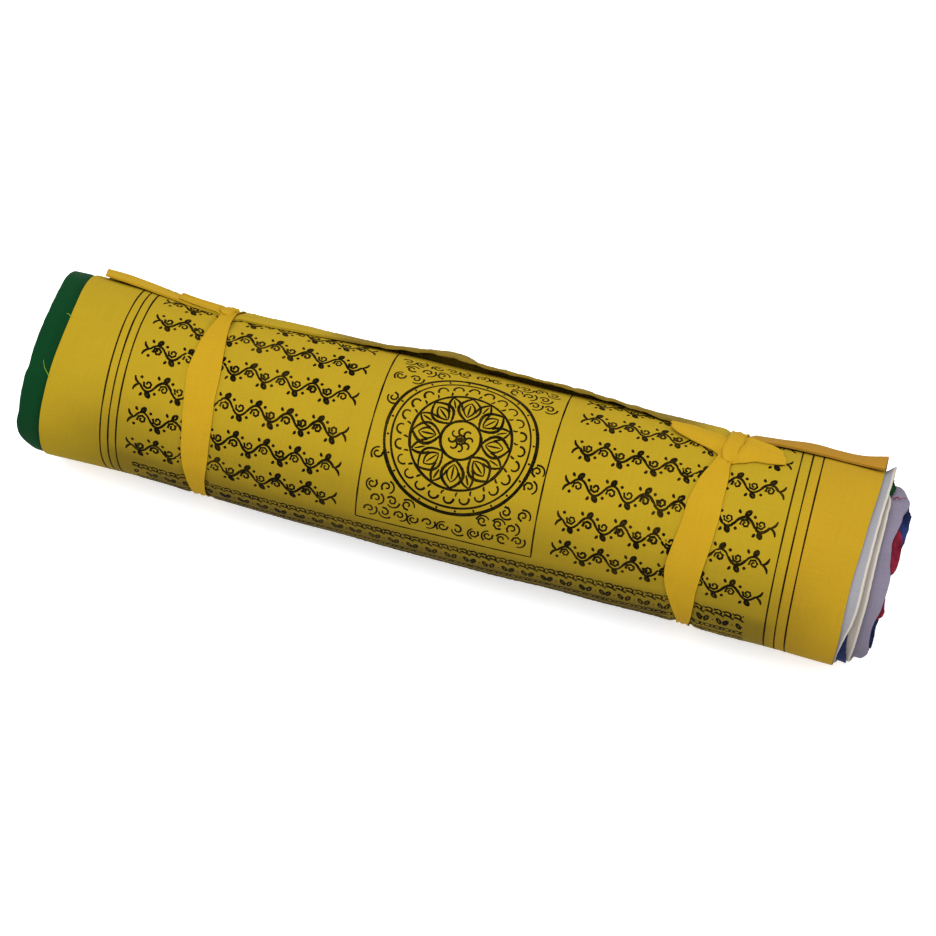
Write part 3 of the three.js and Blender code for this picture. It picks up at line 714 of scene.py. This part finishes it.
# The flags inside. Each is wound twice in the depth of its CAD layer. start is the CAD's winding
# angle; columns are x and the lift over its own winding; reach is how much further an edge stands
# out, by the angle round the roll; secondTurn is how much further the second turn's edge does
inner = {"pitch": 0.65, "thickness": 0.42, "span": 708, "rows": 230, "mmPerDegree": 0.47}
innerFlags = {
    "greenCloth": {
        "node": "green_flag", "slot": "green_cotton", "material": greenCotton, "start": 406,
        "flat": (0.25, 0.34),
        "columns": [(-132.2, 2.0), (-127.2, 2.0), (-125.6, 1.3), (-120, 1.3), (-112, 0), (118, 0)],
        "leftReach": [(-130, -2), (-60, -1.5), (0, -.5), (28, .3), (50, -.2), (73, -.7), (90, -1.0),
                      (118, -.7), (126, -.6), (130, -.1), (136, 0), (146, .3), (157, .3), (163, .8),
                      (172, .8), (180, .2), (193, -2.2), (213, -3.2), (230, -3)],
    },
    "whiteClothOuter": {
        "node": "white_flag_outer", "slot": "white_cotton", "material": whiteCotton, "start": 764,
        "flat": (0.25, 0.32),
        "columns": [(-121.5, 0), (118.4, 0), (121.5, 2.6), (125.6, 2.6), (127.6, 3.0)],
        "rightReach": [(-130, .2), (30, .4), (55, .3), (72, .1), (108, .1), (122, 0), (144, 0),
                       (154, -.5), (165, -1.6), (181, -2.6), (205, -3.1), (230, -1.6)],
        "corner": {"angle": 31, "width": 12, "height": 2.8, "from": 123.5},
    },
    "whiteClothFolded": {
        "node": "white_flag_folded", "slot": "white_cotton", "material": creamCotton, "start": 1122,
        "flat": (0.25, 0.31),
        "columns": [(-120.5, 0), (118.4, 0), (121.5, 2.6), (128.4, 2.6), (130.4, 2.9)],
        "rightReach": [(-130, 0), (0, -2), (40, -3.4), (58, -3.2), (66, -1.5), (82, -1.1), (106, -1.1),
                       (122, -.8), (140, -.5), (153, -.7), (171, -1.1), (182, -1.4), (205, -1.6),
                       (230, -.5)],
        "secondTurn": -0.8,
    },
    "whiteClothInner": {
        # painted shade: this white flag takes the darker copy of the white cotton
        "node": "white_flag_inner", "slot": "white_cotton", "material": whiteCottonPaintedShade, "start": 1480,
        "flat": (0.25, 0.29),
        "columns": [(-119.5, 0), (118.4, 0), (121.5, 2.6), (131.2, 2.2), (133.6, 2.2)],
        "rightReach": [(-130, -.5), (0, -1.5), (28, -3.2), (52, -.4), (62, .9), (68, .4), (72, -.1),
                       (79, -.1), (88, -.6), (95, -1.1), (103, -.6), (111, -.1), (119, .9), (131, .9),
                       (142, .4), (151, -.6), (169, -.6), (180, -.1), (205, -2.1), (230, -2)],
    },
    "redCloth": {
        "node": "red_flag", "slot": "red_cotton", "material": redCotton, "start": 1838,
        "flat": (0.25, 0.27), "crumple": 0.4,
        "columns": [(-118.5, 0), (118.4, 0), (121.5, 2.4), (133.8, 2.2)],
        "rightReach": [(-130, -1), (40, -1.5), (78, -1.2), (86, .2), (88, .7), (101, 1.7), (112, 1.7),
                       (117.5, .7), (122, -.6), (128, -.6), (132, .4), (138, .9), (146, 1.2), (149, 0),
                       (153, -1.2), (230, -1.2)],
    },
    "blueCloth": {
        "node": "blue_flag", "slot": "blue_cotton", "material": blueCotton, "start": 2196,
        "flat": (0.25, 0.26), "crumple": 0.45,
        "columns": [(-117.5, 0), (118.4, 0), (121.5, 2.4), (134, 2.2)],
        "rightReach": [(-130, -1), (45, -.4), (57, .9), (64, 1.8), (71, 2.0), (85, 2.0), (95, 1.5),
                       (105, .8), (118, -.6), (144, -.5), (150, .2), (159, -.1), (177, .1), (195, -.6),
                       (230, -1)],
    },
}


def innerInset(startTurn, turn):
    # the CAD's own winding at the start, then half its pitch with each turn
    return 1.3 + 1.3 * startTurn / 360 + inner["pitch"] * (turn - startTurn) / 360


def makeInnerCloth(name, flag, seed):
    # columns are close together where the cloth shows past its neighbours and far apart inside
    table = np.array(flag["columns"], float)
    first, last = table[0, 0], table[-1, 0]
    middle = np.linspace(-110, 110, 9)
    ends = [np.linspace(first, -113, 19), middle, np.linspace(114, last, 25)]
    along = np.unique(np.round(np.concatenate(ends), 3))[:, None]
    turn = np.linspace(flag["start"], flag["start"] + inner["span"], inner["rows"])[None, :]
    angle = atAngle(roll["looseAngle"] - turn)
    lift = np.interp(along, table[:, 0], table[:, 1])
    inset = innerInset(flag["start"], turn) - lift
    inset = inset + 0.1 * unevenness(along, turn * 0.5, 17, seed) * (np.abs(along) > 112)
    crumpled = flag.get("crumple", 0) * ease((along - 129) / 3)
    inset = inset + crumpled * unevenness(along * 1.4, turn * 0.5, 4.5, seed + 3)
    if "corner" in flag:
        corner = flag["corner"]
        rise = np.exp(-((angle - corner["angle"]) / corner["width"]) ** 2) * (turn < flag["start"] + 360)
        inset = inset - corner["height"] * rise * ease((along - corner["from"]) / 5)
    x = along + 0 * turn
    frayed = 0.05 * unevenness(0 * turn, turn * 0.5, 4, seed + 1)
    frayed = frayed + 0.15 * unevenness(0 * turn, turn * 0.5, 30, seed + 2)
    if "leftReach" in flag:
        share = np.clip((along + roll["reach"]) / (first + roll["reach"]), 0, 1)
        x = x - share * (throughRows(angle, flag["leftReach"]) + frayed)
    if "rightReach" in flag:
        share = np.clip((along - 122) / (last - 122), 0, 1)
        secondTurn = flag.get("secondTurn", 0) * ease((turn - flag["start"] - 350) / 20)
        x = x + share * (throughRows(angle, flag["rightReach"]) + frayed + secondTurn)
    outer = rollPoint(x, turn, inset)
    arc = (turn - flag["start"]) * inner["mmPerDegree"]
    piece = clothSheet(name, outer, inner["thickness"] + 0 * x, flag["material"], (along, arc))
    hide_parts(flag["node"])
    return piece


innerCloths = [makeInnerCloth(name, flag, 30 + 3 * k) for k, (name, flag) in enumerate(innerFlags.items())]
print("inner flags made")

# Corners caught between the white cloths at the right end: a blue one low down, and a green one in
# the gap at the top. Rows are angle and how far the corner reaches
cornerFolds = {
    "blueCornerFold": {
        "slot": "blue_cotton", "material": blueCotton, "inset": 2.16,
        "rows": [(150, 125.4), (156, 126.2), (166, 126.7), (178, 127.2), (190, 127.8), (205, 127.8),
                 (222, 126.4)],
    },
    "greenCornerFold": {
        "slot": "green_cotton", "material": greenCotton, "inset": 3.8,
        "rows": [(22, 126), (34, 128.0), (42, 128.8), (50, 129.5), (55, 129.3), (62, 128.8),
                 (70, 128.3), (80, 127.4), (90, 126)],
    },
}
foldStart = 121.5


def makeCornerFold(name, fold, seed):
    # a narrow sheet that follows the layer it is caught in: angle round the roll, share along it
    angle = np.linspace(fold["rows"][0][0], fold["rows"][-1][0], 40)[None, :]
    share = np.linspace(0, 1, 12)[:, None]
    reach = throughRows(angle, fold["rows"]) + 0.08 * unevenness(angle, 0 * angle, 7, seed)
    x = foldStart + (reach - foldStart) * share
    inset = fold["inset"] + 0.8 * (1 - share) + 0 * angle
    outer = pointAt(x, angle, inset)[:, ::-1]
    piece = clothSheet(name, outer, 0.2 + 0 * x, fold["material"], (x[:, ::-1], angle[:, ::-1] * 0.0005))
    return piece


def looseThread(name, path, under, material, radius=0.13):
    # a stray thread: rings of six points along a smooth path of (x, angle, height over the cloth)
    x, angle, height = throughPoints(path, np.linspace(0, len(path) - 1, 16))
    middle = pointAt(x, angle, under - height)
    way = np.gradient(middle, axis=0)
    way = way / np.linalg.norm(way, axis=1, keepdims=True)
    side = np.cross(way, [0.3, 0.2, 1])
    side = side / np.linalg.norm(side, axis=1, keepdims=True)
    up = np.cross(side, way)
    t = np.radians(np.arange(0, 360, 60))[None, :, None]
    taper = np.linspace(1, 0.4, 16)[:, None, None]
    rings = middle[:, None] + radius * taper * (side[:, None] * np.cos(t) + up[:, None] * np.sin(t))
    piece = closedTube(name, rings, material, np.zeros((16, 6, 2)))
    return piece


greenThreads = [
    looseThread("greenThreadLong", [(-124.4, 128, .1), (-125.2, 126, .35), (-126.2, 123.5, .6),
                                    (-127.1, 119.5, .7)], 0.45, threadCotton),
    looseThread("greenThreadShort", [(-123.6, 89.5, .1), (-124.3, 88.6, .4), (-125.0, 88.8, .5)],
                0.45, threadCotton),
]
redThread = looseThread("redThread", [(129.6, 62, .1), (130.6, 59.5, .3), (131.4, 61.5, .35), (132.2, 59, .3),
                                      (133.2, 58.5, .15)], 4.42, redCotton, 0.2)
corners = {name: makeCornerFold(name, fold, 51 + k) for k, (name, fold) in enumerate(cornerFolds.items())}

# The turns nearer the middle: one long cloth of each colour, the five laid together and rolled up
wound = {
    "startInset": 10.6,
    "lastInset": 29,
    "startTurn": 34,
    "turns": 5.25,
    "thickness": 0.42,
    # share of the way to the outside, where the left and right ends lie
    "ends": [(0, -126.0, 128.0), (.16, -127.6, 129.5), (.34, -129.8, 132.4), (.68, -130.4, 133.0),
             (1, -129.6, 132.0), (1.2, -129.6, 132.0)],
}
woundColours = [
    ("woundBlue", blueCotton, "blue_cotton"), ("woundWhite", whiteCotton, "white_cotton"),
    ("woundRed", redCotton, "red_cotton"), ("woundGreen", greenCotton, "green_cotton"),
    ("woundYellow", yellowCotton, "yellow_cotton"),
]


def makeWoundCloth(number, name, material, slot):
    # a five-start spiral: this cloth starts one layer in from the last, and its ends lie uneven
    turn = np.linspace(0, 360 * wound["turns"], 250)[None, :]
    inset = wound["startInset"] + inner["pitch"] * number + inner["pitch"] * len(woundColours) * turn / 360
    share = np.clip((wound["lastInset"] - inset) / (wound["lastInset"] - wound["startInset"]), 0, 1)
    depth, leftEnd, rightEnd = np.array(wound["ends"]).T
    left = np.interp(share, depth, leftEnd) + 0.7 * unevenness(0 * turn, turn * 0.2, 24, 60 + number)
    right = np.interp(share, depth, rightEnd) + 0.7 * unevenness(0 * turn, turn * 0.2, 24, 70 + number)
    left = left + 0.3 * np.sin(number * 2.4)
    right = right + 0.4 * np.sin(number * 1.9 + 1)
    steps = np.array([0, .008, .02, .035, .06, .35, .65, .94, .965, .98, .992, 1])[:, None]
    x = left + (right - left) * steps
    # past the flags outside it, the bundle springs outwards
    lift = 2.1 * ease((x - 118.4) / 3.1) + 4.9 * ease((-x - 118.9) / 4.7)
    inset = inset - lift * share + 0.08 * unevenness(x, turn, 40, 80 + number)
    outer = rollPoint(x, turn + wound["startTurn"], inset)
    piece = clothSheet(name, outer, wound["thickness"] + 0 * x, material, (x, turn * 0.2))
    return piece


woundCloths = [makeWoundCloth(k, *row) for k, row in enumerate(woundColours)]
for cloth in woundCloths:
    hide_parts("wound_flags")
print("wound turns made")


# The ties: flat strips of cotton, each wound once round the roll and knotted near the top
tie = {"thickness": 0.32, "gap": 0.06, "across": 13, "around": 200}


def tieBand(name, run, knotAngle, node, seed):
    # rows go round from under the knot and back to it; the strip gathers into creases where it narrows
    turn = np.linspace(0, 360, tie["around"])[None, :]
    angle = atAngle(knotAngle - turn)
    v = np.linspace(-1, 1, tie["across"])[:, None]
    width = throughRows(angle, run, 2)
    waver = 0.12 * unevenness(turn * 0.5, 0 * turn, 14, seed)
    x = throughRows(angle, run, 1) + v * (width / 2) + waver * np.abs(v) * v
    gathered = 1 - np.clip((width - 4.5) / 5, 0, 1)
    crease = (0.05 + gathered * 0.12) * np.cos(v * 6.2 + 0.8 * unevenness(turn * 0.5, 0 * turn, 26, seed + 1))
    crease = crease + 0.1 * (1 - gathered) * unevenness(v * 5, turn * 0.06, 3.5, seed + 4)
    cupped = 0.05 * v ** 4 + 0.07 * unevenness(v * 4, turn * 0.5, 9, seed + 2)
    inset = coverInset(x, angle) - tie["gap"] - tie["thickness"] - 0.3 * gathered - crease - cupped
    outer = pointAt(x, angle, inset)
    piece = clothSheet(name, outer, tie["thickness"] + 0 * x, tieCotton, (x, turn * 0.52))
    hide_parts(node)
    return piece


def tieKnot(name, x, angle, halfLength, halfAngle, height):
    # a flattened lump where the strip is drawn through itself: rings along x, squarish in section,
    # with creases running up and down it
    s = np.linspace(-1, 1, 25)[:, None]
    t = np.radians(np.linspace(0, 360, 40, endpoint=False))[None, :]
    profile = np.clip(1 - np.abs(s) ** 3.2, 0.002, 1) ** 0.42
    crease = 1 + 0.1 * np.cos(7.5 * s + 0.9 * np.cos(t)) + 0.05 * np.cos(3 * t + 2.2 * s)
    square = (np.abs(np.cos(t)) ** 3 + np.abs(np.sin(t)) ** 3) ** (-1 / 3)
    up = np.sin(t) * square * profile * crease
    alongRoll = x + s * halfLength + 0.4 * np.sin(t * 2)
    aroundRoll = angle - np.cos(t) * square * profile * halfAngle
    base = coverInset(alongRoll, aroundRoll)
    inset = base - height * 0.45 - up * height * 0.6
    rings = pointAt(alongRoll, aroundRoll, inset)
    uv = np.stack(np.broadcast_arrays(alongRoll, t * 3.0), -1)
    piece = closedTube(name, rings, tieCotton, uv)
    return piece


def tieTail(name, rows, seed):
    # a free end: rows give its two edges from the knot outwards (x, angle, x, angle, lift)
    s = np.linspace(0, len(rows) - 1, 30)[:, None]
    x0, angle0, x1, angle1, lift = throughPoints(rows, s)
    v = np.linspace(0, 1, 11)[None, :]
    toRight = rows[-1][0] > rows[0][0]
    fray = 0.25 * unevenness(v * 9, 0 * v, 3, seed) * ease(s - len(rows) + 2)
    x = x0 + (x1 - x0) * v + (1 if toRight else -1) * fray
    angle = angle0 + (angle1 - angle0) * v
    # folds fan out from the knot and die away towards the tip
    fan = 1 - 0.75 * ease(s / (len(rows) - 1.2))
    wave = 0.2 * fan * np.cos(v * 9 + seed) + 0.06 * unevenness(v * 6, s * 5, 7, seed + 1)
    inset = coverInset(x, angle) - lift - tie["thickness"] - wave
    outer = pointAt(x, angle, inset)
    if toRight:
        outer = outer[:, ::-1]
    piece = clothSheet(name, outer, tie["thickness"] + 0 * x, tieCotton, (x, angle * 0.5))
    return piece


tails = {
    "tieLeftTailLower": [(-79.5, 38, -79.5, 51, .15), (-85, 39, -85, 50.5, .2),
                         (-91, 38.5, -91, 49, .2), (-97, 38, -96.5, 46, .2)],
    "tieLeftTailUpper": [(-79.5, 27, -79.5, 42, .3), (-85, 26, -85, 41, .3),
                         (-91, 25, -91.5, 40, .35), (-97.5, 24, -97, 37.5, .4)],
    "tieRightTailLeft": [(80.5, 46, 80.5, 73, .4), (77.5, 52, 77.5, 69.8, .4), (72.5, 51, 72, 66.5, .4),
                         (67.5, 50, 67, 63.5, .4), (63, 50, 63.5, 60.5, .35), (60, 51, 61, 57, .3)],
    "tieRightTailRight": [(79.5, 44, 79.5, 74, .4), (83, 45, 83.5, 73, .4), (87, 49, 87.5, 69, .4),
                          (91.5, 51, 92, 67.8, .35), (94.5, 54, 96.8, 64.8, .3)],
}
tail = {name: tieTail(name, rows, 200 + 5 * k) for k, (name, rows) in enumerate(tails.items())}
leftBand = tieBand("tieLeftBand", tieLeftRun, 41, "tie_left", 300)
rightBand = tieBand("tieRightBand", tieRightRun, 58, "tie_right", 310)
leftKnot = tieKnot("tieLeftKnot", -80.6, 42, 2.2, 9, 1.7)
rightKnot = tieKnot("tieRightKnot", 80, 58, 2.6, 15, 1.5)
print("ties made")


# The floor and the studio light: a white floor lit from under, so that shadows stay soft and thin, a
# large soft light over the roll, and a white room. The floor gives the roll no light of its own:
# the room's lower half does, in its place.
stage = {
    "halfFloor": 30.0,
    "floorGlow": 0.35,
    "softboxPlace": (-0.12, -0.15, 1.35),
    "softboxSize": 1.4,
    "softboxPower": 11.5,
    "roomAbove": 1.15,
    "roomBelow": 0.78,
    "horizon": 0.04,
}


def makeFloor():
    # a square of white, matt, faintly glowing floor
    mesh = bpy.data.meshes.new("floor")
    side = stage["halfFloor"]
    mesh.from_pydata([(-side, -side, 0), (side, -side, 0), (side, side, 0), (-side, side, 0)], [],
                     [(0, 1, 2, 3)])
    floor = bpy.data.objects.new("floor", mesh)
    scene.collection.objects.link(floor)
    material = bpy.data.materials.new("paleFloor")
    material.use_nodes = True
    shader = material.node_tree.nodes["Principled BSDF"]
    shader.inputs["Base Color"].default_value = linearColour("#ffffff")
    shader.inputs["Roughness"].default_value = 0.9
    shader.inputs["Emission Color"].default_value = linearColour("#f6f8ff")
    shader.inputs["Emission Strength"].default_value = stage["floorGlow"]
    mesh.materials.append(material)
    floor.visible_diffuse = False


def makeLights():
    # a square softbox aimed at the origin, and a room whose strength steps up at the horizon
    light = bpy.data.lights.new("overheadSoftbox", "AREA")
    light.size = stage["softboxSize"]
    light.energy = stage["softboxPower"]
    lamp = bpy.data.objects.new("overheadSoftbox", light)
    place = stage["softboxPlace"]
    lamp.location = place
    toward = -np.array(place) / np.linalg.norm(place)
    lamp.rotation_euler = (np.arccos(-toward[2]), 0, np.arctan2(toward[1], toward[0]) - np.pi / 2)
    scene.collection.objects.link(lamp)
    world = bpy.data.worlds.new("studio")
    world.use_nodes = True
    tree = world.node_tree
    way = addNode(tree, "TexCoord").outputs["Generated"]
    height = addNode(tree, "SeparateXYZ", {"Vector": way}).outputs["Z"]
    step = addNode(tree, "MapRange", {"Value": height, "From Min": -stage["horizon"],
                                      "From Max": stage["horizon"], "To Min": stage["roomBelow"],
                                      "To Max": stage["roomAbove"]})
    tree.links.new(step.outputs[0], tree.nodes["Background"].inputs["Strength"])
    tree.nodes["Background"].inputs["Color"].default_value = linearColour("#ffffff")
    scene.world = world


makeFloor()
makeLights()
print("stage made")
